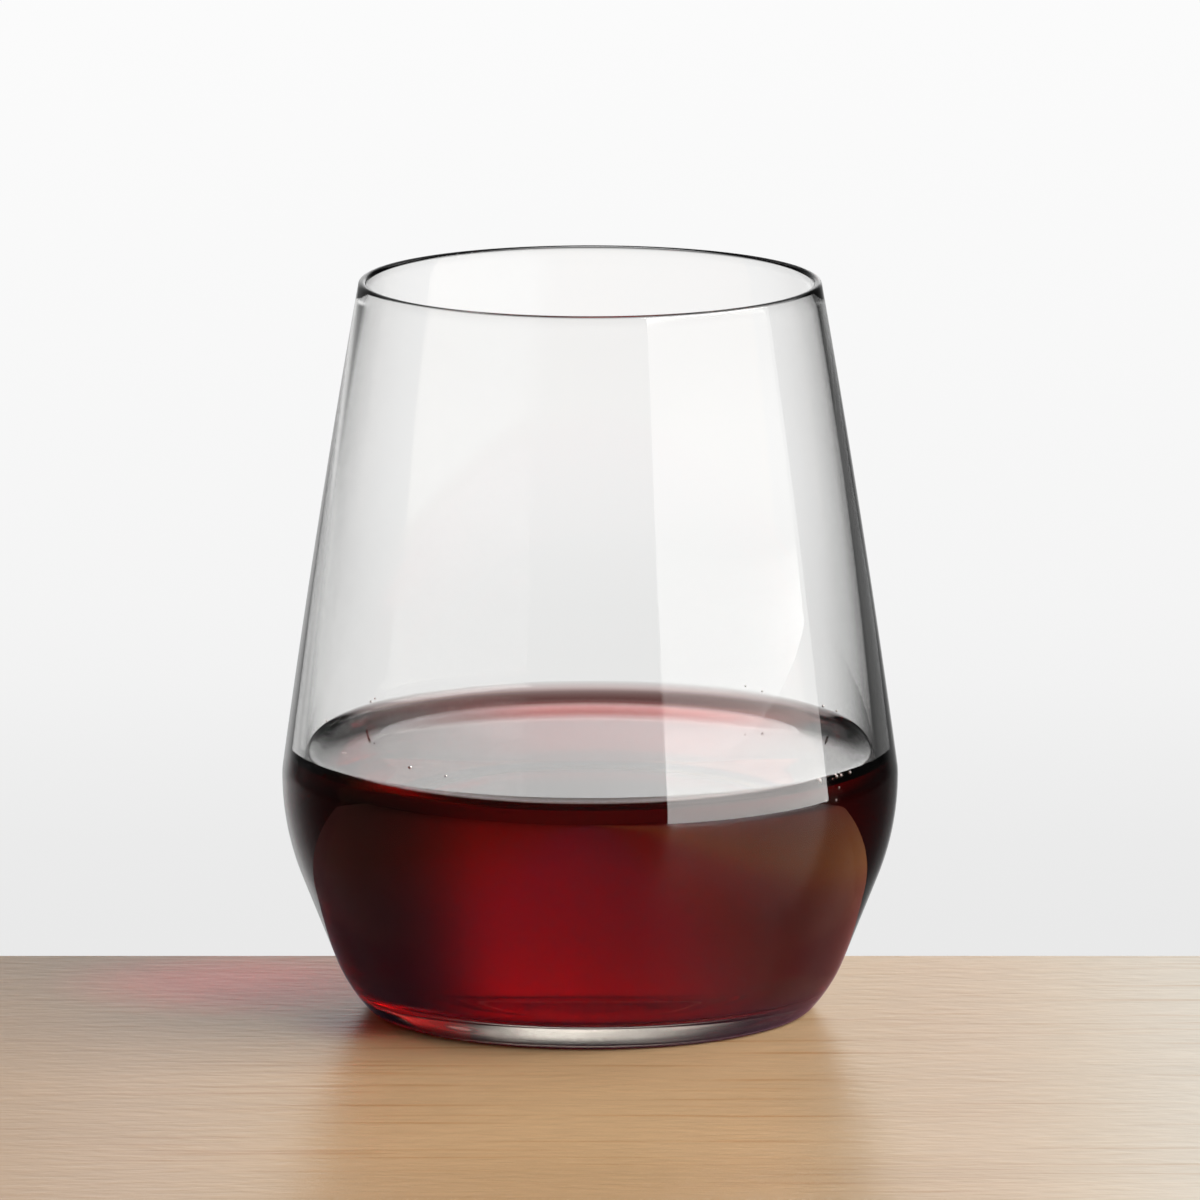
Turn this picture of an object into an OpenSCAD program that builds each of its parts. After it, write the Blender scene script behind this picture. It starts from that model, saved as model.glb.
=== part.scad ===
// Stemless wine glass with a pour of red wine in it. The glass stands on its foot ring
// at z = 0 and turns about the z axis. Lengths are in millimetres, angles in degrees.
//
// Both walls of the glass are chains of arcs that run smoothly into each other. A lean is
// the angle between a wall and the upright: below the belly the wall leans outwards as it
// rises, above the belly it leans inwards.

/* [Bowl outside] */
// Height of the glass, from the table to the top of the rim
glass_h = 107.5; // [95:0.5:125]
// Outside diameter at the belly, the widest part of the bowl
belly_d = 90; // [84:0.5:100]
// Height of the belly above the table
belly_z = 34.6; // [32:0.2:42]
// Outside diameter of the mouth, at the middle of the rounded rim
mouth_d = 67.4; // [60:0.2:76]
// Radius of the outline just below the belly
belly_under_r = 39.5; // [30:0.5:46]
// Radius of the outline just above the belly
belly_over_r = 12; // [6:0.5:24]
// Lean of the outside wall where it leaves the belly
wall_lean = 7.9; // [5:0.1:10]

/* [Foot] */
// Diameter of the outer edge of the ring that the glass stands on
foot_d = 62.2; // [56:0.2:68]
// Width of the flat of that ring
foot_ring_w = 2; // [1:0.1:5]
// Radius of the small round between the foot ring and the heel
foot_edge_r = 2.7; // [1.5:0.1:4]
// How much more the wall leans where that round begins than the line from the foot to the belly
heel_lean = 19.9; // [12:0.1:28]
// Radius of the heel, the outline between the small round and the straight side
heel_r = 22.7; // [12:0.1:30]
// Depth of the hollow under the glass, at its middle
hollow_h = 2.3; // [0.4:0.1:3]

/* [Wall] */
// Thickness of the wall at the rim, whose edge is melted to a half round
rim_t = 1.2; // [0.8:0.05:2]
// Thickness of the wall at the belly
belly_t = 2.9; // [1.6:0.1:4]
// Height of the inside floor above the table
floor_z = 4.6; // [3:0.1:7]
// Distance from the foot ring's outer edge in to the edge of the flat inside floor
floor_inset = 0.4; // [0:0.1:5]
// Radius of the inside corner between the floor and the wall
floor_corner_r = 2.4; // [1:0.1:10]
// Radius of the inside wall just below the belly
inside_under_r = 45; // [30:0.5:48]
// Radius of the inside wall just above the belly
inside_over_r = 40; // [20:0.5:60]
// Lean of the inside wall where it leaves the belly
inside_lean = 5.5; // [3:0.1:8]

/* [Wine] */
// Height of the flat of the wine above the table
wine_z = 36; // [12:0.5:60]
// Height that the wine climbs the glass above its flat
wine_climb = 3.1; // [0.5:0.1:3.3]
// Capillary length of the wine, which sets how far in from the glass that climb reaches
wine_capillary = 2.3; // [1.6:0.1:2.7]

/* [Hidden] */

// True circles round the axis, and the number of straight steps in an arc of the outline
$fn = 180;
long_arc_steps = 16;
short_arc_steps = 8;

// Colours of the clear glass and of the wine
clear_glass = [0.86, 0.91, 0.9, 0.35];
red_wine = [0.42, 0.03, 0.08];

belly_r = belly_d / 2;
foot_r = foot_d / 2;
rim_r = rim_t / 2;
rim_centre = [mouth_d / 2 - rim_r, glass_h - rim_r];
hollow_r = foot_r - foot_ring_w;
floor_r = foot_r - floor_inset;
inside_belly_r = belly_r - belly_t;

// A point at a distance and an angle from a centre. Points are [distance from the axis, height].
function polar(centre, radius, angle) = centre + radius * [cos(angle), sin(angle)];

// The points of an arc, both ends included
function arc(centre, radius, from, to, steps) =
    [for (i = [0 : steps]) polar(centre, radius, from + (to - from) * i / steps)];

// The low part of a wall: a round at the foot, the side, and the arc under the belly. The side is
// the straight line that touches the round and the arc. Where the arc is too flat for any such
// line, it ends sooner and the side is an arc too, which bends on from there to the round.
function low_wall(low, low_r, start, belly, under_r) =
    let (extra_r = under_r - low_r,
         chord = belly - [low_r, 0] - low,
         reach = chord * chord - 2 * chord[0] * extra_r,
         lean = atan2(chord[0] - extra_r, chord[1]) + atan2(extra_r, sqrt(abs(reach))),
         side = polar(belly - [under_r, 0], extra_r, -lean) - low,
         low_lean = reach > 0 ? lean : 2 * atan2(side[0], side[1]) - lean)
    concat(arc(low, low_r, start, -low_lean, short_arc_steps),
           reach > 0 ? [] : bent_side(low, low_r, low_lean, lean, norm(side)),
           arc(belly - [under_r, 0], under_r, -lean, 0, long_arc_steps));

// The points of a bent side, without its ends, from its lean at the round to its lean at the arc
function bent_side(low, low_r, low_lean, lean, length) =
    let (bend_r = length / (2 * sin((low_lean - lean) / 2)),
         points = arc(polar(low, -bend_r, -low_lean), bend_r + low_r, -low_lean, -lean, short_arc_steps))
    [for (i = [1 : short_arc_steps - 1]) points[i]];

// The high part of a wall: the arc over the belly, then one long arc to the rim. Side is how far
// outside the middle of the rim the wall ends, negative for the inside wall. The chord to the
// rim sets the lean that the long arc ends with, so the rim's round carries on smoothly.
function mid_start(belly, over_r, lean, side) = polar(belly - [over_r, 0], over_r - side, lean);
function end_lean(start, lean) =
    let (chord = rim_centre - start)
    2 * atan2(-chord[0], chord[1]) - lean;
function high_wall(belly, over_r, lean, side) =
    let (start = mid_start(belly, over_r, lean, side),
         last = end_lean(start, lean),
         mid_r = norm(rim_centre - start) / (2 * sin((last - lean) / 2)))
    concat(arc(belly - [over_r, 0], over_r, 0, lean, short_arc_steps),
           arc(polar(start, -mid_r, lean), mid_r + side, lean, last, long_arc_steps));

// Every point but the first, which ends the run of points before it
function rest(points) = [for (i = [1 : len(points) - 1]) points[i]];

// The points in the opposite order
function backwards(points) = [for (i = [len(points) - 1 : -1 : 0]) points[i]];

// Outside of the glass, from the foot ring's outer edge to the rim's round
foot_edge_centre = [foot_r, foot_edge_r];
heel_low_lean = atan2(belly_r - foot_r, belly_z) + heel_lean;
heel_centre = polar(foot_edge_centre, foot_edge_r - heel_r, -heel_low_lean);
outside_wall = concat(
    arc(foot_edge_centre, foot_edge_r, -90, -heel_low_lean, short_arc_steps),
    rest(low_wall(heel_centre, heel_r, -heel_low_lean, [belly_r, belly_z], belly_under_r)),
    rest(high_wall([belly_r, belly_z], belly_over_r, wall_lean, rim_r)));

// Inside of the glass, from the edge of its flat floor to the rim's round
inside_wall = concat(
    low_wall([floor_r, floor_z + floor_corner_r], floor_corner_r, -90, [inside_belly_r, belly_z],
             inside_under_r),
    rest(high_wall([inside_belly_r, belly_z], inside_over_r, inside_lean, -rim_r)));

// Hollow under the glass, a shallow dome from its middle to the foot ring's inner edge
dome_r = (hollow_r * hollow_r + hollow_h * hollow_h) / (2 * hollow_h);
dome_half_angle = asin(hollow_r / dome_r);
hollow = arc([0, hollow_h - dome_r], dome_r, 90, 90 - dome_half_angle, short_arc_steps);

// Round of the rim, from the outside wall over to the inside wall
outside_end_lean = end_lean(mid_start([belly_r, belly_z], belly_over_r, wall_lean, rim_r), wall_lean);
inside_end_lean =
    end_lean(mid_start([inside_belly_r, belly_z], inside_over_r, inside_lean, -rim_r), inside_lean);
rim_round = arc(rim_centre, rim_r, outside_end_lean, 180 + inside_end_lean, short_arc_steps);

// Radius of the inside wall at a height
inside_heights = [for (p = inside_wall) [p[1], p[0]]];
function inside_r(height) = lookup(height, inside_heights);

// Distance in from the glass at which the wine's edge stands a given rise above the flat. It is
// the shape of a liquid that climbs a wall: surface tension there carries the weight of the climb.
function acosh(x) = ln(x + sqrt(x * x - 1));
function climb_depth(rise) = sqrt(4 * wine_capillary * wine_capillary - rise * rise);
function climb_gap(rise) =
    wine_capillary * (acosh(2 * wine_capillary / rise) - acosh(2 * wine_capillary / wine_climb))
    + climb_depth(wine_climb) - climb_depth(rise);

// Rises at which the edge of the wine has a point, as shares of the whole climb
climb_shares = [0.86, 0.72, 0.58, 0.45, 0.33, 0.22, 0.13, 0.06, 0.02];
wine_top = wine_z + wine_climb;
wine_edge = [for (share = climb_shares)
    [inside_r(wine_top) - climb_gap(share * wine_climb), wine_z + share * wine_climb]];
flat_r = wine_edge[len(wine_edge) - 1][0] - wine_capillary;

// One piece of glass: the bowl, its thick base and the ring that it stands on
module glass()
    color(clear_glass)
    rotate_extrude()
    polygon(concat(hollow, outside_wall, rest(rim_round), backwards(rest(inside_wall)),
                   [inside_wall[0], [0, floor_z]]));

// The wine, which fills the inside of the glass up to its flat and climbs a little at the edge
module wine()
    color(red_wine)
    rotate_extrude()
    polygon(concat([[0, floor_z]], [for (p = inside_wall) if (p[1] < wine_top) p],
                   [[inside_r(wine_top), wine_top]], wine_edge, [[flat_r, wine_z], [0, wine_z]]));

glass();
wine();
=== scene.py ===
"""Looks of a stemless wine glass with a pour of red wine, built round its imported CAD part.

Everything is in metres, in the part's own frame: the glass stands on its foot ring at z = 0 and
is round about the z axis. Sizes of the glass and the wine are held in millimetres, as on a
drawing, and turned into metres where a mesh is made.
"""

import logging
import math
from dataclasses import dataclass
from enum import Enum
from typing import Callable

import bpy
import numpy as np
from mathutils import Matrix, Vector


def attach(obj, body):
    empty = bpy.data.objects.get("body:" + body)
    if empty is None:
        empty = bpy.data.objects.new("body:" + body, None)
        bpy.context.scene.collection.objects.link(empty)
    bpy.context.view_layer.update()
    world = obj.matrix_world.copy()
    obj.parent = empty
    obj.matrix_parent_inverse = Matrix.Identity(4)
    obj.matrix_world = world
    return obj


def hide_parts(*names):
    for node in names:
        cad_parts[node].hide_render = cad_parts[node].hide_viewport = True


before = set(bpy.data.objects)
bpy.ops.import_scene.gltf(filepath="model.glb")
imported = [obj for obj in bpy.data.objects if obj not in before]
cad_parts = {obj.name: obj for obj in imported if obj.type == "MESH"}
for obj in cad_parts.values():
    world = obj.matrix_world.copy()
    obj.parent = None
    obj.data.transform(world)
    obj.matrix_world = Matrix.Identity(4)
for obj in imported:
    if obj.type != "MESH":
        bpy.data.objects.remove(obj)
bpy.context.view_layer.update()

log = logging.getLogger("wine_glass")

MM = 0.001

# Attributes of the turned pieces, with one value for each ring
MIRROR_SHARE = "mirror_share"
# Painted shade that darkens the glass foot's outer edge, as a share of the light let through
PAINTED_FOOT_SHADE = "painted_foot_shade"

Array = np.ndarray
Material = bpy.types.Material
Object = bpy.types.Object
Socket = bpy.types.NodeSocket
Value = Socket | float | tuple[float, ...]
Triple = tuple[float, float, float]
Curve = tuple[tuple[float, float], ...]
ColourCurve = tuple[tuple[float, Triple], ...]

WHITE = (1.0, 1.0, 1.0, 1.0)


class Node(Enum):
    """CAD nodes that the looks stand for."""

    GLASS = "glass"
    WINE = "wine"


class Slot(Enum):
    """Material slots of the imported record."""

    CLEAR_GLASS = "clear_glass"
    RED_WINE = "red_wine"


class MixKind(Enum):
    """Kinds of Mix node, with the indices of its two inputs and of its output."""

    FLOAT = (2, 3, 0)
    RGBA = (6, 7, 2)


# ---- Profiles: arrays of points [distance from the axis, height] in millimetres


def polar(centre: Array, radius: float, angle: float | Array) -> Array:
    """Points centre + radius * (cos angle, sin angle), with the angle in degrees."""
    turn = np.radians(angle)
    return centre + radius * np.stack([np.cos(turn), np.sin(turn)], axis=-1)


def arc(centre: Array, radius: float, start: float, end: float, steps: int) -> Array:
    """Points of a circular arc, both ends included, evenly spaced between angles in degrees."""
    return polar(centre, radius, np.linspace(start, end, steps + 1))


def level(start: float, end: float, height: float, count: int) -> Array:
    """Evenly spaced points at one height, from one distance from the axis to another."""
    return np.stack([np.linspace(start, end, count), np.full(count, height)], axis=1)


def even_points(profile: Array, count: int) -> Array:
    """The same profile with evenly spaced points along its length.

    Args:
        profile: The points of the profile.
        count: The number of points to return.

    Returns:
        Points at equal steps of length, each on the line between two of the profile's points.
    """
    lengths = np.r_[0.0, np.cumsum(np.linalg.norm(np.diff(profile, axis=0), axis=1))]
    places = np.linspace(0.0, lengths[-1], count)
    return np.stack([np.interp(places, lengths, profile[:, k]) for k in (0, 1)], axis=1)


def outward_normals(profile: Array) -> Array:
    """Unit normals of a profile, on its right hand as it is walked.

    Args:
        profile: The points of the profile.

    Returns:
        At each point, the direction along the profile turned a quarter turn to the right.
    """
    along = np.gradient(profile, axis=0)
    along /= np.linalg.norm(along, axis=1, keepdims=True)
    return np.stack([along[:, 1], -along[:, 0]], axis=1)


# ---- Meshes

BALL_RINGS, BALL_SEGMENTS = 8, 14


def turned_faces(rings: int, segments: int) -> tuple[Array, Array]:
    """Faces of a closed grid of rings round an axis with a pole at each end.

    Point j of ring i has the index i * segments + j, and the first and the last pole come after
    all the rings. Every ring joins the next with quads, wrapped round at the last segment.

    Args:
        rings: The number of rings.
        segments: The number of points in a ring.

    Returns:
        The quads and the triangles of the two fans, as indices of their corners.
    """
    here = np.arange(segments)
    after = np.roll(here, -1)
    row = (np.arange(rings - 1) * segments)[:, None]
    near, far = row + here, row + after
    quads = np.stack([near, far, far + segments, near + segments], axis=2)
    last_row, first_pole = (rings - 1) * segments, np.full(segments, rings * segments)
    first_fan = np.stack([first_pole, after, here], axis=1)
    last_fan = np.stack([first_pole + 1, last_row + here, last_row + after], axis=1)
    return quads.reshape(-1, 4), np.vstack([first_fan, last_fan])


def placed(name: str, data: bpy.types.ID) -> Object:
    """A new object with its data, linked to the scene at the origin."""
    thing = bpy.data.objects.new(name, data)
    bpy.context.scene.collection.objects.link(thing)
    return thing


def smooth_piece(name: str, points: Array, quads: Array, triangles: Array) -> Object:
    """A smooth shaded object at the origin.

    Args:
        name: The name of the new object.
        points: Its points, in metres.
        quads: Corners of its quads.
        triangles: Corners of its triangles.

    Returns:
        The object, linked to the scene.
    """
    mesh = bpy.data.meshes.new(name)
    mesh.from_pydata(points.tolist(), [], quads.tolist() + triangles.tolist())
    mesh.polygons.foreach_set("use_smooth", np.ones(len(mesh.polygons), dtype=bool))
    mesh.update()
    return placed(name, mesh)


def ball_mesh(name: str, centres: Array, radii: Array) -> Object:
    """One mesh of small closed balls.

    Point j of ring i of a ball is its centre plus its radius times (sin t cos a, sin t sin a,
    -cos t), with t the share (i + 1) / (rings + 1) of a half turn and a the share j / segments of
    a full one.

    Args:
        name: The name of the new object.
        centres: Centres of the balls, in millimetres.
        radii: Their radii, in millimetres.

    Returns:
        The object.
    """
    tilt = np.pi * np.arange(1, BALL_RINGS + 1)[:, None] / (BALL_RINGS + 1)
    turn = 2.0 * np.pi * np.arange(BALL_SEGMENTS) / BALL_SEGMENTS
    sides = [np.sin(tilt) * np.cos(turn), np.sin(tilt) * np.sin(turn)]
    grid = np.stack([*sides, -np.cos(tilt) * np.ones(BALL_SEGMENTS)], axis=2)
    ball = np.vstack([grid.reshape(-1, 3), [[0.0, 0.0, -1.0], [0.0, 0.0, 1.0]]])
    points = (centres[:, None, :] + radii[:, None, None] * ball).reshape(-1, 3) * MM
    first = (np.arange(len(centres)) * len(ball))[:, None, None]
    quads, triangles = ((first + faces).reshape(-1, faces.shape[1])
                        for faces in turned_faces(BALL_RINGS, BALL_SEGMENTS))
    return smooth_piece(name, points, quads, triangles)


def turned_mesh(name: str, profile: Array, segments: int, marks: dict[str, Array]) -> Object:
    """A closed mesh made by turning a profile about the z axis.

    The profile starts and ends on the axis, where it makes the poles. Point j of ring i is at
    angle 2 pi j / segments, at the distance and height of the profile's point i + 1.

    Args:
        name: The name of the new object.
        profile: The points in millimetres. Walked with the outside on its right hand.
        segments: The number of steps in a full turn.
        marks: Attributes to store, by name, with one value for each point of the profile.

    Returns:
        The object, at the origin, smooth shaded, with outward faces.
    """
    rings = profile[1:-1] * MM
    turn = np.linspace(0.0, 2.0 * np.pi, segments, endpoint=False)
    grid = np.empty((len(rings), segments, 3))
    grid[..., 0] = rings[:, :1] * np.cos(turn)
    grid[..., 1] = rings[:, :1] * np.sin(turn)
    grid[..., 2] = rings[:, 1:]
    poles = np.array([[0.0, 0.0, profile[0, 1]], [0.0, 0.0, profile[-1, 1]]]) * MM
    points = np.vstack([grid.reshape(-1, 3), poles])
    piece = smooth_piece(name, points, *turned_faces(len(rings), segments))
    for mark, values in marks.items():
        spread = np.r_[np.repeat(values[1:-1], segments), values[0], values[-1]]
        attribute = piece.data.attributes.new(mark, "FLOAT", "POINT")
        attribute.data.foreach_set("value", spread.astype(np.float32))
    return piece


def mark_crease(piece: Object, index: int, segments: int) -> None:
    """Makes the edges of one ring of a turned mesh sharp, so that shading breaks there.

    Args:
        piece: An object made by turned_mesh.
        index: The index of the ring's point in the profile that was turned.
        segments: The number of steps in its full turn.
    """
    mesh = piece.data
    ends = np.empty(2 * len(mesh.edges), dtype=np.int32)
    mesh.edges.foreach_get("vertices", ends)
    rings = ends.reshape(-1, 2) // segments
    sharp = mesh.attributes.new("sharp_edge", "BOOLEAN", "EDGE")
    sharp.data.foreach_set("value", np.all(rings == index - 1, axis=1))


# ---- Shader nodes


def rgba(colour: Triple) -> tuple[float, float, float, float]:
    """A colour with full opacity."""
    return (*colour, 1.0)


class Nodes:
    """Makes and joins the shader nodes of one material, lamp or world."""

    def __init__(self, owner: Material | bpy.types.World | bpy.types.Light) -> None:
        """Starts from an empty node tree.

        Args:
            owner: The material, lamp or world whose nodes these are.
        """
        owner.use_nodes = True
        self.tree = owner.node_tree
        self.tree.nodes.clear()

    def add(self, kind: str, inputs: dict[str | int, Value] | None = None,
            **settings: object) -> bpy.types.ShaderNode:
        """Adds a node.

        Args:
            kind: The node's type, such as "ShaderNodeMath".
            inputs: What its inputs take: outputs to link to them, or their own values.
            **settings: Values of its properties, which are set first.

        Returns:
            The node.
        """
        node = self.tree.nodes.new(kind)
        for name, setting in settings.items():
            setattr(node, name, setting)
        for key, value in (inputs or {}).items():
            if isinstance(value, bpy.types.NodeSocket):
                self.tree.links.new(value, node.inputs[key])
            else:
                node.inputs[key].default_value = value
        return node

    def math(self, operation: str, *values: Value) -> Socket:
        """Adds a Math node, such as "MULTIPLY", on links or numbers."""
        return self.add("ShaderNodeMath", dict(enumerate(values)), operation=operation).outputs[0]

    def mix(self, kind: MixKind, share: Value, first: Value, second: Value,
            blend: str = "MIX") -> Socket:
        """Blends two values or two colours.

        Args:
            kind: Whether they are values or colours.
            share: How much of the second there is, from 0 to 1.
            first: The first value or colour.
            second: The second value or colour.
            blend: How colours are blended, such as "MULTIPLY".

        Returns:
            The blend.
        """
        first_index, second_index, result_index = kind.value
        node = self.add("ShaderNodeMix", {0: share, first_index: first, second_index: second},
                        data_type=kind.name, blend_type=blend)
        return node.outputs[result_index]

    def multiply(self, colour: Value, by: Socket) -> Socket:
        """Multiplies a colour by another, or by a value."""
        return self.mix(MixKind.RGBA, 1.0, colour, by, "MULTIPLY")

    def ramp(self, value: Socket, stops: Curve, top: float = 1.0) -> Socket:
        """A smooth curve through stops, as a function of one value.

        Args:
            value: The input, in its own units.
            stops: Pairs (input, output) in rising order of input, with outputs from 0 to the top.
            top: The output that the upper edge of the curve's grid stands for.

        Returns:
            The output, which keeps its end values outside the stops.
        """
        first, last = stops[0][0], stops[-1][0]
        span = {"Value": value, "From Min": first, "From Max": last}
        place = self.add("ShaderNodeMapRange", span, clamp=True)
        curve = self.add("ShaderNodeFloatCurve", {"Value": place.outputs["Result"]})
        points = curve.mapping.curves[0].points
        while len(points) < len(stops):
            points.new(0.5, 0.5)
        for point, (at, out) in zip(points, stops):
            point.location = ((at - first) / (last - first), out / top)
            point.handle_type = "AUTO_CLAMPED"
        curve.mapping.update()
        return self.math("MULTIPLY", curve.outputs[0], top)

    def split(self, coordinates: str) -> bpy.types.bpy_prop_collection:
        """The x, y and z of a texture coordinate, such as "Object"."""
        place = self.add("ShaderNodeTexCoord").outputs[coordinates]
        return self.add("ShaderNodeSeparateXYZ", {0: place}).outputs

    def noise(self, scale: float, detail: float, stretch: Triple = (1.0, 1.0, 1.0)) -> Socket:
        """Noise on Object coordinates.

        Args:
            scale: The noise's scale.
            detail: Its detail.
            stretch: What the coordinates are multiplied by along each axis.

        Returns:
            Values round 0.5.
        """
        place = self.add("ShaderNodeTexCoord").outputs["Object"]
        stretched = self.add("ShaderNodeMapping", {"Vector": place, "Scale": stretch}).outputs[0]
        inputs = {"Vector": stretched, "Scale": scale, "Detail": detail}
        return self.add("ShaderNodeTexNoise", inputs).outputs["Fac"]

    def bump(self, height: Socket, distance: float) -> Socket:
        """Normals of a surface with fine relief, whose height 1 is a distance in metres."""
        inputs = {"Strength": 1.0, "Distance": distance, "Height": height}
        return self.add("ShaderNodeBump", inputs).outputs["Normal"]

    def attribute(self, name: str) -> Socket:
        """The value of an attribute of the piece."""
        return self.add("ShaderNodeAttribute", attribute_name=name).outputs["Fac"]

    def mirrored_rays(self) -> Socket:
        """1 for rays that a surface mirrored and 0 for the others, also for those let through."""
        rays = self.add("ShaderNodeLightPath").outputs
        kept = self.math("SUBTRACT", 1.0, rays["Is Transmission Ray"])
        return self.math("MULTIPLY", rays["Is Glossy Ray"], kept)

    def clear_body(self, ior: float, tint: Triple, density: float,
                   own: dict[str | int, Value]) -> None:
        """Ends the tree as a polished clear body.

        It takes away (1 - tint) * density of the light for each metre. It mirrors the share that
        the piece's mirror_share attribute says: glass against wine mirrors almost nothing, and
        glass against air mirrors fully, so one piece needs both.

        Args:
            ior: Its index of refraction.
            tint: The colour that it leaves.
            density: Its density, per metre.
            own: More inputs of its surface.
        """
        share = self.attribute(MIRROR_SHARE)
        grey = self.add("ShaderNodeCombineXYZ", dict.fromkeys(range(3), share)).outputs[0]
        polished = {"Roughness": 0.0, "IOR": ior, "Transmission Weight": 1.0, "Specular Tint": grey}
        surface = self.add("ShaderNodeBsdfPrincipled", {**polished, **own}).outputs["BSDF"]
        volume = self.add("ShaderNodeVolumeAbsorption", {"Color": rgba(tint), "Density": density})
        ends = {"Surface": surface, "Volume": volume.outputs["Volume"]}
        self.add("ShaderNodeOutputMaterial", ends)


# ---- Finishes


@dataclass(frozen=True)
class ClearGlassFinish:
    """Polished soda-lime glass, a little wavy as blown glass is, faintly straw in the thick."""

    ior: float = 1.517
    tint: Triple = (0.7, 0.72, 0.5)
    tint_density: float = 8.0
    ripple_stretch: Triple = (1.0, 1.0, 0.45)
    ripple_scale: float = 46.0
    ripple_detail: float = 0.5
    ripple_height: float = 0.00012

    def build(self) -> Material:
        """Builds the material, with its waviness on Object coordinates.

        Returns:
            The material.
        """
        material = bpy.data.materials.new("clear_glass_polished")
        nodes = Nodes(material)
        ripples = nodes.noise(self.ripple_scale, self.ripple_detail, self.ripple_stretch)
        nodes.clear_body(self.ior, self.tint, self.tint_density, {
            # Painted shade at the foot's outer edge
            "Base Color": nodes.attribute(PAINTED_FOOT_SHADE),
            "Normal": nodes.bump(ripples, self.ripple_height),
        })
        return material


@dataclass(frozen=True)
class RedWineFinish:
    """Still red wine: a clear liquid that deepens with the length of wine looked through.

    The density is a little more than the largest of the three rates of absorption, because the
    colour that goes with it can't be less than 0.
    """

    ior: float = 1.345
    absorbed_per_mm: Triple = (0.0344, 0.33, 0.36)
    density_margin: float = 1.02

    def build(self) -> Material:
        """Builds the material.

        Returns:
            The material.
        """
        material = bpy.data.materials.new("red_wine_clear")
        per_metre = np.array(self.absorbed_per_mm) / MM
        density = float(per_metre.max()) * self.density_margin
        tint = tuple(1.0 - per_metre / density)
        Nodes(material).clear_body(self.ior, tint, density, {"Base Color": WHITE})
        return material


@dataclass(frozen=True)
class BubbleFinish:
    """The skin of an air bubble in wine, which mirrors nearly all the light that meets it."""

    colour: Triple = (0.95, 0.88, 0.87)
    roughness: float = 0.3
    patch_scale: float = 4000.0
    patch_detail: float = 2.0

    def build(self) -> Material:
        """Builds the material, a little duller in patches.

        Returns:
            The material.
        """
        material = bpy.data.materials.new("bubble_silver")
        nodes = Nodes(material)
        patches = nodes.noise(self.patch_scale, self.patch_detail)
        duller = nodes.math("MULTIPLY_ADD", patches, self.roughness, self.roughness / 2.0)
        skin = {"Base Color": rgba(self.colour), "Metallic": 1.0, "Roughness": duller}
        surface = nodes.add("ShaderNodeBsdfPrincipled", skin).outputs["BSDF"]
        nodes.add("ShaderNodeOutputMaterial", {"Surface": surface})
        return material


@dataclass(frozen=True)
class Grain:
    """One set of streaks along the board.

    Its scale is that of the noise along, across and through the board, per metre. Its depth is
    how far the darkest and the lightest streaks are apart, as a share of the board's colour.
    """

    scale: Triple
    detail: float
    depth: float = 0.0

    def streaks(self, nodes: Nodes) -> Socket:
        """The streaks, as values round 0.5."""
        return nodes.noise(1.0, self.detail, self.scale)

    def shade(self, nodes: Nodes, streaks: Socket) -> Socket:
        """Turns streaks into what the board's colour is multiplied by, round 1."""
        return nodes.math("MULTIPLY_ADD", streaks, self.depth, 1.0 - self.depth / 2.0)


@dataclass(frozen=True)
class PaintedPatch:
    """A soft round patch of painted light and shade on the board, such as the wine's red glow.

    It has a middle and a half width, across and along the board, and a colour that multiplies the
    board's own at its middle.
    """

    middle: tuple[float, float]
    size: tuple[float, float]
    colour: Triple
    core: float = 0.1

    def build(self, nodes: Nodes, point: tuple[Socket, Socket]) -> Socket:
        """The colour to multiply by.

        With d the distance from the middle over the size, it is full within the core and its
        strength falls as a smoothstep from there to d = 1.

        Args:
            nodes: The material's nodes.
            point: The point of the board, across and along it.

        Returns:
            The colour, white outside the patch.
        """
        parts = [nodes.math("DIVIDE", nodes.math("SUBTRACT", axis, middle), size)
                 for axis, middle, size in zip(point, self.middle, self.size)]
        squares = nodes.math("ADD", *(nodes.math("MULTIPLY", part, part) for part in parts))
        span = {"Value": nodes.math("SQRT", squares), "From Min": 1.0, "From Max": self.core}
        fade = nodes.add("ShaderNodeMapRange", span, interpolation_type="SMOOTHSTEP")
        return nodes.mix(MixKind.RGBA, fade.outputs["Result"], WHITE, rgba(self.colour))


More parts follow.
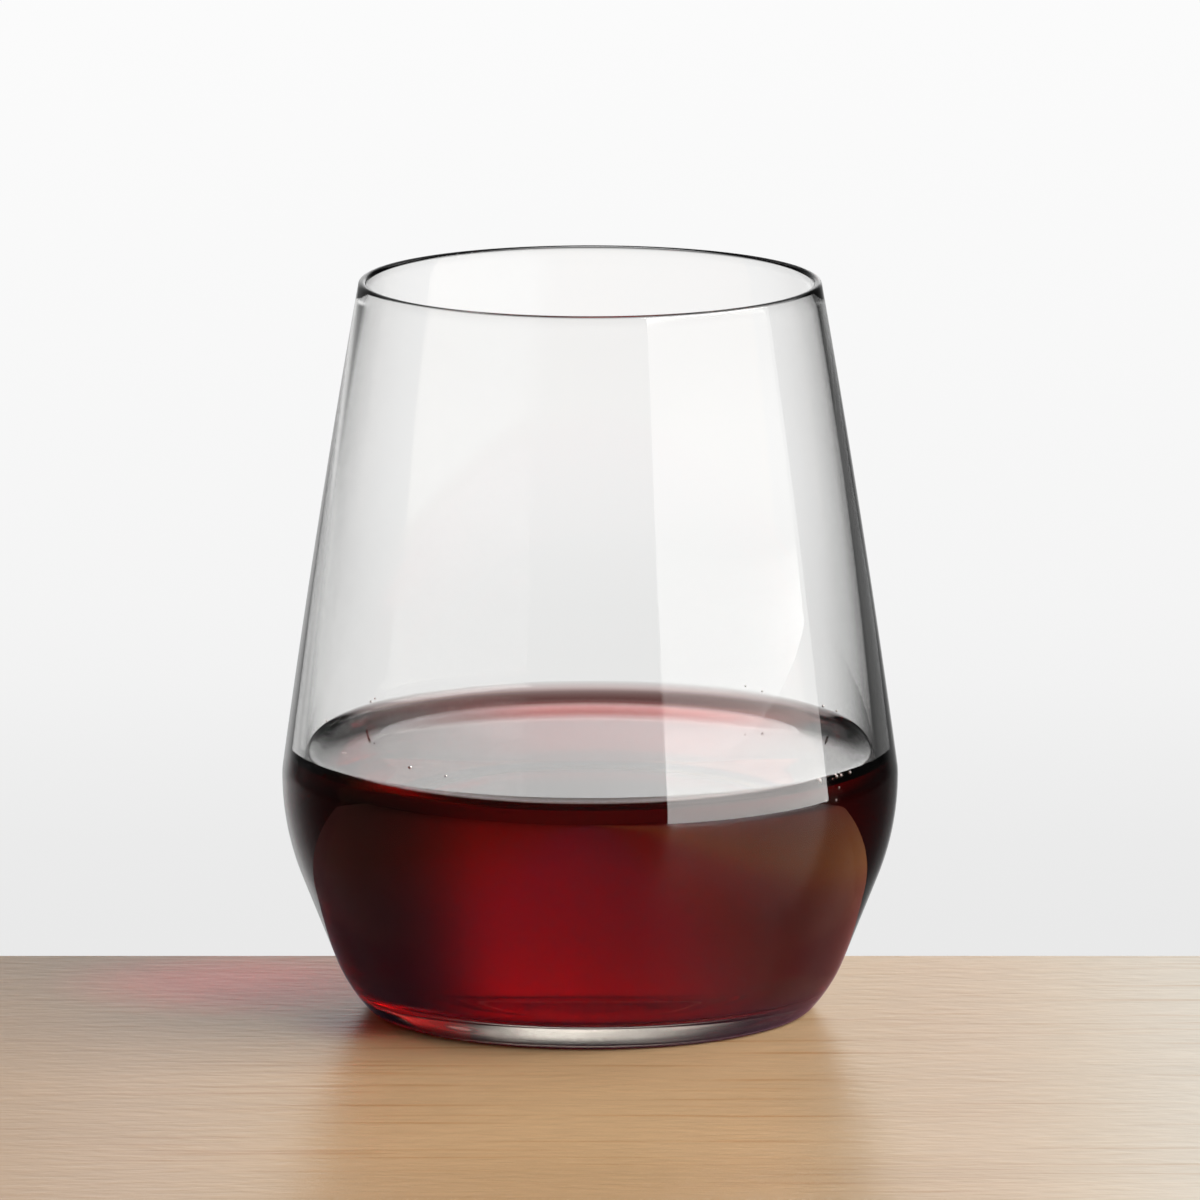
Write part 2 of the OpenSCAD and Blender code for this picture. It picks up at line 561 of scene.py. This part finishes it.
@dataclass(frozen=True)
class TabletopFinish:
    """Pale warm board with a soft sheen, a fine grain from left to right and a painted red glow.

    The shades are painted light and shade across the board: pairs of a place across the board, in
    metres to the right, and a colour that the board's own colour is multiplied by there. They make
    it darker and warmer to the left, away from the softbox, and lighter and bluer to the right, a
    painted sheen. The mirrored colours are what the glass mirrors of the board, held down to keep
    the wine deep, with painted light and shade: bright to the right, where the softbox lights the
    board, and dark to the left. Of the patches, the first is a painted red glow of light through
    the wine, the second a painted dark red shadow beside the foot and the last a painted shade in
    front of the glass. The line strength says how much of the line colour the darkest streaks take.
    No shade or mirrored colour passes the most colour.
    """

    colour: Triple = (0.72, 0.475, 0.262)
    # Painted light and shade across the board: darker and warmer to the left, lighter and bluer to
    # the right
    painted_shading: ColourCurve = (
        (-0.09, (0.74, 0.7, 0.66)), (-0.05, (0.9, 0.92, 0.99)), (-0.02, (1.0, 0.98, 0.97)),
        (0.02, (1.0, 1.0, 1.0)), (0.04, (0.89, 0.94, 1.02)), (0.09, (0.97, 1.3, 1.94)))
    # What the glass mirrors of the board, with painted light and shade: bright to the right, dark
    # to the left
    mirrored: ColourCurve = (
        (-0.09, (0.28, 0.1, 0.09)), (-0.05, (0.3, 0.12, 0.16)), (-0.02, (0.31, 0.14, 0.25)),
        (0.02, (0.32, 0.16, 0.24)), (0.045, (0.36, 0.12, 0.11)), (0.1, (1.0, 0.4, 0.14)),
        (0.18, (1.0, 0.36, 0.2)), (0.32, (0.08, 0.03, 0.03)))
    most_colour: float = 2.0
    patches: tuple[PaintedPatch, ...] = (
        # Painted red glow of light through the wine, painted dark red shadow beside the foot,
        # painted shade in front of the glass
        PaintedPatch((-0.05, 0.016), (0.034, 0.03), (2.0, 0.8, 1.0)),
        PaintedPatch((-0.034, -0.014), (0.012, 0.014), (0.62, 0.32, 0.34)),
        PaintedPatch((0.0, -0.135), (0.09, 0.05), (0.86, 0.84, 0.8)))
    lines: Grain = Grain((14.0, 480.0, 1.0), 4.0)
    line_colour: Triple = (0.8, 0.63, 0.46)
    line_strength: Curve = ((0.28, 1.0), (0.37, 0.5), (0.44, 0.07), (0.8, 0.0))
    broad: Grain = Grain((5.0, 110.0, 1.0), 2.0, 0.16)
    fibre: Grain = Grain((170.0, 560.0, 1.0), 3.0, 0.22)
    fibre_height: float = 0.00011
    roughness: float = 0.3
    ior: float = 1.6
    mirrored_ior: float = 1.3

    def build(self) -> Material:
        """Builds the material, on Object coordinates.

        Returns:
            The material.
        """
        material = bpy.data.materials.new("tabletop_satin")
        nodes = Nodes(material)
        across, along, _ = nodes.split("Object")
        fibre = self.fibre.streaks(nodes)
        own = nodes.add("ShaderNodeBsdfPrincipled", {
            "Base Color": self.colour_with_painted_light(nodes, (across, along), fibre),
            "Roughness": self.roughness,
            "IOR": self.ior,
            "Normal": nodes.bump(fibre, self.fibre_height),
        })
        # The board as the glass mirrors it, in its painted light and shade
        dim = nodes.add("ShaderNodeBsdfPrincipled", {
            "Base Color": self.across_colour(nodes, across, self.mirrored),
            "Roughness": self.roughness,
            "IOR": self.mirrored_ior,
        })
        either = {0: nodes.mirrored_rays(), 1: own.outputs["BSDF"], 2: dim.outputs["BSDF"]}
        surface = nodes.add("ShaderNodeMixShader", either).outputs[0]
        nodes.add("ShaderNodeOutputMaterial", {"Surface": surface})
        return material

    def colour_with_painted_light(self, nodes: Nodes, point: tuple[Socket, Socket], fibre: Socket) -> Socket:
        """The board's colour, with its painted light and shade, its painted patches and its grain.

        Args:
            nodes: The material's nodes.
            point: The point of the board, across and along it.
            fibre: The finest streaks.

        Returns:
            The colour.
        """
        # Painted light and shade across the board
        painted_shading = self.across_colour(nodes, point[0], self.painted_shading)
        colour = nodes.multiply(rgba(self.colour), painted_shading)
        # Painted glow and shadows on the board
        for patch in self.patches:
            colour = nodes.multiply(colour, patch.build(nodes, point))
        strength = nodes.ramp(self.lines.streaks(nodes), self.line_strength)
        lined = nodes.mix(MixKind.RGBA, strength, WHITE, rgba(self.line_colour))
        depth = nodes.math("MULTIPLY", self.broad.shade(nodes, self.broad.streaks(nodes)),
                           self.fibre.shade(nodes, fibre))
        return nodes.multiply(nodes.multiply(colour, lined), depth)

    def across_colour(self, nodes: Nodes, across: Socket, stops: ColourCurve) -> Socket:
        """A colour that changes smoothly from left to right.

        Args:
            nodes: The material's nodes.
            across: The place across the board, in metres to the right.
            stops: Pairs of a place and the colour there, in rising order of place.

        Returns:
            The colour, which keeps its end values outside the stops.
        """
        curves = (tuple((at, colour[index]) for at, colour in stops) for index in range(3))
        channels = (nodes.ramp(across, curve, self.most_colour) for curve in curves)
        return nodes.add("ShaderNodeCombineXYZ", dict(enumerate(channels))).outputs[0]


# ---- The glass and the wine

# Numbers of steps in the arcs of the glass's section, and of points in its flat floor
FOOT_EDGE_STEPS = 10
LOW_ROUND_STEPS = 18
UNDER_BELLY_STEPS = 26
OVER_BELLY_STEPS = 10
UPPER_WALL_STEPS = 30
RIM_STEPS = 16
HOLLOW_STEPS = 12
FLOOR_POINTS = 9

# Numbers of points on the wine's side, the steep and the gentle part of its edge, and its flat
SIDE_POINTS = 110
STEEP_POINTS = 40
GENTLE_POINTS = 24
FLAT_POINTS = 14


@dataclass
class GlassBody:
    """One piece of clear glass: bowl, thick base, foot ring and melted rim.

    The sizes are the CAD part's, in millimetres and degrees. Each wall is a chain of arcs that
    run smoothly into each other, as in the part's source. The dry and wet shares are how much the
    inside mirrors above the wine and under it. The foot's painted shade darkens its outer edge: a
    share of the light let through, given against the height above the table, for points outside
    the foot's radius less the slack.
    """

    glass_h: float = 107.5
    belly_d: float = 90.0
    belly_z: float = 34.6
    mouth_d: float = 67.4
    belly_under_r: float = 39.5
    belly_over_r: float = 12.0
    wall_lean: float = 7.9
    foot_d: float = 62.2
    foot_ring_w: float = 2.0
    foot_edge_r: float = 2.7
    heel_lean: float = 19.9
    heel_r: float = 22.7
    hollow_h: float = 2.3
    rim_t: float = 1.2
    belly_t: float = 2.9
    floor_z: float = 4.6
    floor_inset: float = 0.4
    floor_corner_r: float = 2.4
    inside_under_r: float = 45.0
    inside_over_r: float = 40.0
    inside_lean: float = 5.5
    segments: int = 400
    dry_share: float = 0.12
    wet_share: float = 0.06
    # Painted shade of the foot's outer edge, against height above the table
    foot_painted_shade: Curve = ((0.0, 0.6), (0.2, 0.14), (1.5, 0.12), (2.3, 1.0))
    foot_slack: float = 0.01
    finish: ClearGlassFinish = ClearGlassFinish()

    @property
    def rim_centre(self) -> Array:
        """Centre of the half round at the rim."""
        return np.array([self.mouth_d / 2 - self.rim_t / 2, self.glass_h - self.rim_t / 2])

    def low_wall(self, low: Array, low_r: float, start: float, belly: Array,
                 under_r: float) -> Array:
        """The low part of a wall: a round at the foot, a straight side, the arc under the belly.

        The side touches both circles. Its lean is the lean of the line between their centres,
        plus the angle whose tangent is the difference of their radii over the side's length.

        Args:
            low: Centre of the low round.
            low_r: Radius of the low round.
            start: Angle at which the low round starts, in degrees.
            belly: The point of the wall at the belly.
            under_r: Radius of the arc under the belly.

        Returns:
            The points from the low round's start to the belly.
        """
        extra = under_r - low_r
        high = belly - np.array([under_r, 0.0])
        between = high - low
        side = math.sqrt(float(between @ between) - extra * extra)
        lean = math.degrees(math.atan2(between[0], between[1]) + math.atan2(extra, side))
        return np.vstack([
            arc(low, low_r, start, -lean, LOW_ROUND_STEPS),
            arc(high, under_r, -lean, 0.0, UNDER_BELLY_STEPS),
        ])

    def high_wall(self, belly: Array, over_r: float, lean: float, side: float) -> Array:
        """The high part of a wall: the arc over the belly, then one long arc to the rim.

        Args:
            belly: The point of the wall at the belly.
            over_r: Radius of the arc just above the belly.
            lean: Lean of the wall where it leaves the belly, in degrees.
            side: How far outside the rim's middle the wall ends, negative for the inside.

        Returns:
            The points from the belly to the rim's round.
        """
        centre = belly - np.array([over_r, 0.0])
        start = polar(centre, over_r - side, lean)
        chord = self.rim_centre - start
        last = 2.0 * math.degrees(math.atan2(-chord[0], chord[1])) - lean
        mid_r = float(np.linalg.norm(chord)) / (2.0 * math.sin(math.radians((last - lean) / 2.0)))
        long_arc = arc(polar(start, -mid_r, lean), mid_r + side, lean, last, UPPER_WALL_STEPS)
        return np.vstack([arc(centre, over_r, 0.0, lean, OVER_BELLY_STEPS), long_arc[1:]])

    def outside_wall(self) -> Array:
        """The outside, from the foot ring's outer edge to the rim's round.

        Returns:
            The points.
        """
        foot_r, belly = self.foot_d / 2, np.array([self.belly_d / 2, self.belly_z])
        lean = math.degrees(math.atan2(belly[0] - foot_r, belly[1])) + self.heel_lean
        edge = np.array([foot_r, self.foot_edge_r])
        heel = polar(edge, self.foot_edge_r - self.heel_r, -lean)
        return np.vstack([
            arc(edge, self.foot_edge_r, -90.0, -lean, FOOT_EDGE_STEPS),
            self.low_wall(heel, self.heel_r, -lean, belly, self.belly_under_r)[1:],
            self.high_wall(belly, self.belly_over_r, self.wall_lean, self.rim_t / 2)[1:],
        ])

    def inside_wall(self) -> Array:
        """The inside, from the edge of its flat floor to the rim's round.

        Returns:
            The points.
        """
        belly = np.array([self.belly_d / 2 - self.belly_t, self.belly_z])
        corner = np.array([self.foot_d / 2 - self.floor_inset, self.floor_z + self.floor_corner_r])
        return np.vstack([
            self.low_wall(corner, self.floor_corner_r, -90.0, belly, self.inside_under_r),
            self.high_wall(belly, self.inside_over_r, self.inside_lean, -self.rim_t / 2)[1:],
        ])

    def hollow(self) -> Array:
        """The shallow dome under the base, from its middle to the foot ring's inner edge.

        Returns:
            The points.
        """
        reach = self.foot_d / 2 - self.foot_ring_w
        dome_r = (reach**2 + self.hollow_h**2) / (2.0 * self.hollow_h)
        half = math.degrees(math.asin(reach / dome_r))
        return arc(np.array([0.0, self.hollow_h - dome_r]), dome_r, 90.0, 90.0 - half, HOLLOW_STEPS)

    def rim_round(self, outside: Array, inside: Array) -> Array:
        """The half round of the rim, from the outside wall over to the inside wall.

        Args:
            outside: The outside wall, whose last point the round starts from.
            inside: The inside wall, whose last point the round ends on.

        Returns:
            The points of the round, ends included.
        """
        start, end = outside[-1] - self.rim_centre, inside[-1] - self.rim_centre
        first = math.degrees(math.atan2(start[1], start[0]))
        last = math.degrees(math.atan2(end[1], end[0])) % 360.0
        return arc(self.rim_centre, self.rim_t / 2, first, last, RIM_STEPS)

    def profile(self) -> Array:
        """The whole section of the glass, from the hollow's middle round to the floor's middle.

        Returns:
            The points.
        """
        outside, inside = self.outside_wall(), self.inside_wall()
        return np.vstack([
            self.hollow(),
            outside,
            self.rim_round(outside, inside)[1:],
            inside[::-1][1:],
            level(inside[0, 0], 0.0, self.floor_z, FLOOR_POINTS)[1:],
        ])

    def mirror_shares(self, profile: Array, wet_z: float) -> Array:
        """How much each point of the section mirrors: fully outside, less inside, hardly when wet.

        Args:
            profile: The whole section of the glass.
            wet_z: Height up to which wine wets the inside.

        Returns:
            One share for each point.
        """
        inside = np.arange(len(profile)) > int(np.argmax(profile[:, 1]))
        wet = inside & (profile[:, 1] < wet_z)
        return np.where(wet, self.wet_share, np.where(inside, self.dry_share, 1.0))

    def painted_foot_shade(self, profile: Array) -> Array:
        """How much light each point lets through: a painted shade darkens the foot's outer edge.

        Args:
            profile: The whole section of the glass.

        Returns:
            One share for each point.
        """
        outside = profile[:, 0] > self.foot_d / 2 - self.foot_slack
        heights, shares = zip(*self.foot_painted_shade)
        return np.where(outside, np.interp(profile[:, 1], heights, shares), 1.0)

    def build(self, wet_z: float) -> Object:
        """The finished glass, which stands for the CAD glass.

        Args:
            wet_z: Height up to which wine wets the inside, in millimetres.

        Returns:
            The piece.
        """
        profile = self.profile()
        marks = {MIRROR_SHARE: self.mirror_shares(profile, wet_z),
                 PAINTED_FOOT_SHADE: self.painted_foot_shade(profile)}
        piece = turned_mesh("glass_body", profile, self.segments, marks)
        piece.data.materials.append(self.finish.build())
        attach(piece, "root")
        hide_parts(Node.GLASS.value)
        return piece


@dataclass
class WineFill:
    """The pour of wine: it fills the glass up to its flat and climbs a little at the edge.

    Sizes are in millimetres. The bite is how far its side reaches into the glass, which fades out
    over the bite's fade below the edge. The two slopes bound the gentle part of the edge, past
    which the wine is flat from the flat's inset on. The glass's own points are followed up to the
    edge's inset below it.
    """

    glass: GlassBody
    flat_z: float = 36.0
    climb: float = 3.1
    capillary: float = 2.3
    bite: float = 0.12
    bite_fade: float = 0.8
    gentle_slope: float = 0.1
    least_slope: float = 0.0006
    flat_inset: float = 1.0
    edge_inset: float = 0.05
    segments: int = 360
    finish: RedWineFinish = RedWineFinish()

    @property
    def edge_z(self) -> float:
        """Height of the line where the wine's surface meets the glass."""
        return self.flat_z + self.climb

    def climb_gap(self, rise: Array) -> Array:
        """How far in from the glass the wine's edge stands a given rise above its flat.

        Surface tension carries the weight of the climb. With capillary length c and rise h the
        gap is c (acosh(2c/h) - acosh(2c/climb)) + sqrt(4c^2 - climb^2) - sqrt(4c^2 - h^2).

        Args:
            rise: Rises above the flat, in millimetres.

        Returns:
            The gaps, in millimetres.
        """
        c = self.capillary
        spread = c * (np.arccosh(2 * c / rise) - np.arccosh(2 * c / self.climb))
        return spread + np.sqrt(4 * c * c - self.climb**2) - np.sqrt(4 * c * c - rise**2)

    def top(self, contact_r: float) -> Array:
        """The surface of the wine, from the glass in to the axis.

        The points of its edge are spaced by slope: where the slope is a, the rise is
        2c sin(a / 2), with capillary length c.

        Args:
            contact_r: Radius of the glass where the wine ends on it.

        Returns:
            The points, inwards.
        """
        steepest = 2.0 * math.asin(self.climb / (2.0 * self.capillary))
        steep = np.linspace(steepest, self.gentle_slope, STEEP_POINTS)
        gentle = np.geomspace(self.gentle_slope, self.least_slope, GENTLE_POINTS)
        rise = 2.0 * self.capillary * np.sin(np.r_[steep, gentle[1:]] / 2.0)
        edge = np.stack([contact_r - self.climb_gap(rise), self.flat_z + rise], axis=1)
        flat = level(edge[-1, 0] - self.flat_inset, 0.0, self.flat_z, FLAT_POINTS)
        return np.vstack([edge, flat])

    def wall_line(self) -> Array:
        """The side of the wine, from the floor's middle out and up to the edge of its surface.

        It bites a little way into the glass, so that light passes straight from wine to glass
        with no air between them. The bite fades out at the edge of the surface.

        Returns:
            The points.
        """
        wall = self.glass.inside_wall()
        edge_r = float(np.interp(self.edge_z, wall[:, 1], wall[:, 0]))
        floor = level(0.0, wall[0, 0], wall[0, 1], FLOOR_POINTS)
        under = wall[wall[:, 1] < self.edge_z - self.edge_inset]
        side = np.vstack([floor[-1:], under[1:], [[edge_r, self.edge_z]]])
        line = np.vstack([floor[:-1], even_points(side, SIDE_POINTS)])
        depth = self.bite * np.clip((self.edge_z - line[:, 1]) / self.bite_fade, 0.0, 1.0)
        bitten = line + outward_normals(line) * depth[:, None]
        bitten[0, 0] = 0.0
        return bitten

    def build(self) -> Object:
        """The finished wine, which stands for the CAD wine.

        Returns:
            The piece.
        """
        line = self.wall_line()
        profile = np.vstack([line, self.top(line[-1, 0])[1:]])
        edge = len(line) - 1
        free = np.where(np.arange(len(profile)) >= edge, 1.0, 0.0)
        piece = turned_mesh("wine_fill", profile, self.segments, {MIRROR_SHARE: free})
        mark_crease(piece, edge, self.segments)
        piece.data.materials.append(self.finish.build())
        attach(piece, "root")
        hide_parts(Node.WINE.value)
        return piece


@dataclass
class EdgeBubbles:
    """Small bubbles left by the pour: some cling to the glass, a few float on the wine.

    Clinging ones are (azimuth, rise above the wine's edge, radius) and floating ones (azimuth,
    distance from the axis, radius), in degrees and millimetres. The azimuth is 0 at the front and
    grows to the right. The middle of a clinging one is a share of its radius off the glass.
    """

    wine: WineFill
    clinging: tuple[Triple, ...] = (
        (50.5, -0.6, 0.34), (55.6, -0.5, 0.36), (57.2, -0.55, 0.28), (60.3, -0.5, 0.3),
        (56.0, -2.2, 0.18), (51.6, -3.6, 0.16), (54.8, -3.8, 0.16), (121.3, 0.3, 0.2),
        (115.6, 0.35, 0.2), (141.0, 0.3, 0.17), (145.4, 0.7, 0.16), (-105.9, 0.3, 0.18),
        (-126.5, 0.3, 0.2), (-128.0, 0.6, 0.15))
    floating: tuple[Triple, ...] = (
        (-95.5, 36.6, 0.26), (-76.7, 27.0, 0.3), (-59.3, 24.3, 0.22))
    off_share: float = 0.8
    finish: BubbleFinish = BubbleFinish()

    def build(self) -> Object:
        """The bubbles as one piece, each touching the glass or half sunk in the surface.

        Returns:
            The piece.
        """
        wall = self.wine.glass.inside_wall()
        azimuth, rise, radius = np.array(self.clinging).T
        height = self.wine.edge_z + rise
        reach = np.interp(height, wall[:, 1], wall[:, 0]) - self.off_share * radius
        turn, out, size = np.array(self.floating).T
        azimuth, reach, radius = np.r_[azimuth, turn], np.r_[reach, out], np.r_[radius, size]
        height = np.r_[height, np.full(len(turn), self.wine.flat_z)]
        side = np.radians(azimuth)
        centres = np.stack([reach * np.sin(side), -reach * np.cos(side), height], axis=1)
        piece = ball_mesh("edge_bubbles", centres, radius)
        piece.data.materials.append(self.finish.build())
        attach(piece, "root")
        return piece


# ---- The studio


@dataclass
class Tabletop:
    """The board that the glass stands on, with its back edge just behind the glass."""

    half_width: float = 2.2
    front: float = -2.4
    back: float = 0.035
    thick: float = 0.02
    finish: TabletopFinish = TabletopFinish()

    def build(self) -> Object:
        """The board as a closed block.

        Returns:
            The board.
        """
        w, f, b, t = self.half_width, self.front, self.back, self.thick
        top = [(-w, f, 0.0), (w, f, 0.0), (w, b, 0.0), (-w, b, 0.0)]
        points = top + [(x, y, -t) for x, y, _ in top]
        sides = [(0, 4, 5, 1), (1, 5, 6, 2), (2, 6, 7, 3), (3, 7, 4, 0)]
        mesh = bpy.data.meshes.new("tabletop")
        mesh.from_pydata(points, [], [(0, 1, 2, 3), (7, 6, 5, 4), *sides])
        mesh.update()
        board = placed("tabletop", mesh)
        board.data.materials.append(self.finish.build())
        return board


@dataclass
class Softbox:
    """A tall soft lamp to the right of the camera, which faces the glass.

    Its brightness changes with height, as pairs of height above the table in metres and
    brightness, so that its image is strong on the wine and faint on the clear wall above. The
    lines of equal brightness fall to the right by the tilt, in metres per metre. No brightness
    passes the most.
    """

    azimuth: float = 63.0
    distance: float = 0.9
    width: float = 1.26
    low: float = 0.0
    high: float = 1.1
    by_height: Curve = (
        (0.0, 7.0), (0.07, 7.0), (0.08, 5.2), (0.093, 4.8), (0.11, 1.8), (0.19, 1.75),
        (0.227, 1.4), (0.29, 1.4), (0.37, 6.6), (1.1, 6.6))
    most: float = 8.0
    tilt: float = 0.083
    colour: Triple = (1.0, 0.985, 0.96)

    def build(self) -> Object:
        """The lamp. Its power is pi times its area, so its brightness is its emission's strength.

        Returns:
            The lamp, which the camera doesn't see.
        """
        lamp = bpy.data.lights.new("softbox", "AREA")
        lamp.shape = "RECTANGLE"
        lamp.size, lamp.size_y = self.width, self.high - self.low
        lamp.energy = math.pi * lamp.size * lamp.size_y
        lamp.color = self.colour
        turn = math.radians(self.azimuth)
        lean = (self.tilt * math.cos(turn), self.tilt * math.sin(turn), 1.0)
        nodes = Nodes(lamp)
        heights = {0: nodes.add("ShaderNodeNewGeometry").outputs["Position"], 1: lean}
        height = nodes.add("ShaderNodeVectorMath", heights, operation="DOT_PRODUCT")
        strength = nodes.ramp(height.outputs["Value"], self.by_height, self.most)
        emission = nodes.add("ShaderNodeEmission", {"Strength": strength}).outputs[0]
        nodes.add("ShaderNodeOutputLight", {"Surface": emission})
        box = placed("softbox", lamp)
        centre = Vector((math.sin(turn), -math.cos(turn), 0.0)) * self.distance
        box.rotation_euler = (-centre).to_track_quat("-Z", "Y").to_euler()
        centre.z = (self.low + self.high) / 2.0
        box.location = centre
        box.visible_camera = False
        return box


@dataclass
class Surroundings:
    """The pale backdrop behind the glass and the darker room round it.

    The height of a direction is the sine of its angle above the horizon. Its bearing is 0
    straight behind the glass and grows to the right. Low down the backdrop is wide and even, at
    the horizon it narrows to a glow behind the glass, and the room above is dimmer and wide. Each
    of the three is a curve of height times a curve of bearing, and each fades into the next. The
    mirrored share is how much of it the board and the outside of the glass mirror. No curve
    passes its most.
    """

    low_by_height: Curve = (
        (-1.0, 0.8), (-0.86, 0.76), (-0.74, 0.22), (-0.67, 0.14), (-0.62, 0.18), (-0.58, 0.28),
        (-0.51, 0.52), (-0.44, 0.74), (-0.358, 0.85), (-0.31, 0.88), (-0.22, 0.885),
        (-0.208, 0.9), (-0.195, 0.94), (-0.178, 0.96), (-0.167, 0.955), (-0.15, 0.965), (1.0, 1.0))
    low_by_bearing: Curve = (
        (-180, 0.04), (-60, 0.05), (-45, 0.18), (-36, 0.45), (-25, 0.9), (-19, 1.2),
        (-15, 1.27), (-10, 1.16), (-7, 1.07), (-4, 1.01), (0, 1.0), (3, 1.0),
        (5, 0.99), (7, 0.9), (10, 0.72), (13, 0.48), (17, 0.32), (24, 0.2),
        (36, 0.07), (70, 0.04), (180, 0.04))
    mid_by_height: Curve = (
        (-1.0, 0.6), (-0.11, 0.6), (-0.1, 0.8), (-0.08, 1.27), (-0.055, 1.6), (-0.02, 1.8),
        (0.01, 2.1), (0.045, 2.2), (0.09, 2.25), (0.13, 2.2), (0.16, 1.85), (0.19, 1.85),
        (0.27, 1.2), (0.33, 0.8), (0.4, 0.45), (1.0, 0.4))
    mid_by_bearing: Curve = (
        (-180, 0.05), (-90, 0.03), (-56, 0.03), (-45, 0.05), (-36, 0.1), (-31, 0.12),
        (-24, 0.18), (-18, 0.31), (-12, 0.54), (-8, 0.73), (-4, 0.84), (0, 1.0),
        (4, 1.12), (7, 1.12), (10, 0.98), (13, 0.65), (17, 0.26), (22, 0.08),
        (28, 0.03), (80, 0.02), (180, 0.05))
    high_by_height: Curve = (
        (0.3, 0.6), (0.42, 1.2), (0.5, 1.5), (0.6, 1.5), (0.7, 1.0), (0.85, 0.6), (1.0, 0.8))
    high_by_bearing: Curve = (
        (-180, 0.1), (-90, 0.15), (-60, 0.25), (-52, 0.9), (-45, 0.9), (-38, 0.3),
        (-25, 0.4), (0, 0.45), (25, 0.4), (40, 0.8), (46, 1.9), (54, 1.9),
        (62, 0.8), (90, 0.3), (180, 0.1))
    low_to_mid: Curve = ((-0.135, 0.0), (-0.105, 1.0))
    mid_to_high: Curve = ((0.3, 0.0), (0.42, 1.0))
    most_by_height: float = 2.5
    most_by_bearing: float = 2.0
    mirrored_share: float = 0.53
    seen_by_camera: Curve = (
        (-0.45, 0.80), (-0.25, 0.80), (-0.203, 0.815), (-0.179, 0.905), (-0.137, 0.965),
        (-0.09, 1.0), (1.0, 1.0))
    most_seen: float = 2.0

    def build(self) -> bpy.types.World:
        """The world, with a plain pale backdrop for camera rays and the room for the others.

        Returns:
            The world.
        """
        world = bpy.data.worlds.new("surroundings")
        bpy.context.scene.world = world
        nodes = Nodes(world)
        x, y, z = nodes.split("Generated")
        bearing = nodes.math("MULTIPLY", nodes.math("ARCTAN2", x, y), 180.0 / math.pi)
        room = self.room(nodes, z, bearing)
        share = nodes.math("MULTIPLY_ADD", nodes.mirrored_rays(), self.mirrored_share - 1.0, 1.0)
        room = nodes.math("MULTIPLY", room, share)
        plain = nodes.ramp(z, self.seen_by_camera, self.most_seen)
        seen = nodes.add("ShaderNodeLightPath").outputs["Is Camera Ray"]
        strength = nodes.mix(MixKind.FLOAT, seen, room, plain)
        glow = {"Color": WHITE, "Strength": strength}
        back = nodes.add("ShaderNodeBackground", glow).outputs[0]
        nodes.add("ShaderNodeOutputWorld", {"Surface": back})
        return world

    def room(self, nodes: Nodes, z: Socket, bearing: Socket) -> Socket:
        """The room's brightness in a direction.

        Args:
            nodes: The nodes of the world.
            z: The height of the direction.
            bearing: Its bearing, in degrees.

        Returns:
            The brightness.
        """
        low, mid, high = (
            nodes.math("MULTIPLY", nodes.ramp(z, by_height, self.most_by_height),
                       nodes.ramp(bearing, by_bearing, self.most_by_bearing))
            for by_height, by_bearing in (
                (self.low_by_height, self.low_by_bearing),
                (self.mid_by_height, self.mid_by_bearing),
                (self.high_by_height, self.high_by_bearing),
            )
        )
        lower = nodes.mix(MixKind.FLOAT, nodes.ramp(z, self.low_to_mid), low, mid)
        return nodes.mix(MixKind.FLOAT, nodes.ramp(z, self.mid_to_high), lower, high)


@dataclass
class Camera:
    """The photograph's camera: far off with a long lens, looking a little down.

    The lens and the sensor are in millimetres, and the pitch in degrees.
    """

    place: Triple = (0.00144, -2.0, 0.42255)
    pitch: float = 10.267
    lens: float = 417.97
    sensor: float = 36.0
    nearest: float = 0.05
    furthest: float = 20.0

    def build(self) -> Object:
        """Makes the camera and gives it to the scene.

        Returns:
            The camera.
        """
        data = bpy.data.cameras.new("view")
        data.lens, data.sensor_width = self.lens, self.sensor
        data.clip_start, data.clip_end = self.nearest, self.furthest
        camera = placed("view", data)
        camera.location = self.place
        camera.rotation_euler = (math.radians(90.0 - self.pitch), 0.0, 0.0)
        bpy.context.scene.camera = camera
        return camera


# How often light may meet a surface in all, pass through one and be mirrored by one
MOST_BOUNCES, MOST_THROUGH, MOST_MIRRORED = 24, 20, 8


def set_light_paths(scene: bpy.types.Scene) -> None:
    """Lets light pass through every wall of glass and wine, and keeps colours plain.

    Args:
        scene: The scene whose settings these are.
    """
    scene.view_settings.view_transform = "Standard"
    scene.cycles.max_bounces = MOST_BOUNCES
    scene.cycles.transmission_bounces = MOST_THROUGH
    scene.cycles.glossy_bounces = MOST_MIRRORED


def main() -> None:
    """Builds the glass, the wine and the studio in order."""
    glass = GlassBody()
    wine = WineFill(glass)
    builders: tuple[tuple[str, Callable[[], object]], ...] = (
        ("glass body", lambda: glass.build(wine.edge_z)),
        ("wine fill", wine.build),
        ("edge bubbles", EdgeBubbles(wine).build),
        ("tabletop", Tabletop().build),
        ("softbox", Softbox().build),
        ("surroundings", Surroundings().build),
        ("camera", Camera().build),
    )
    for name, build in builders:
        build()
        log.info("built the %s", name)
    set_light_paths(bpy.context.scene)


if __name__ == "__main__":
    logging.basicConfig(level=logging.INFO, format="%(name)s: %(message)s")
    main()
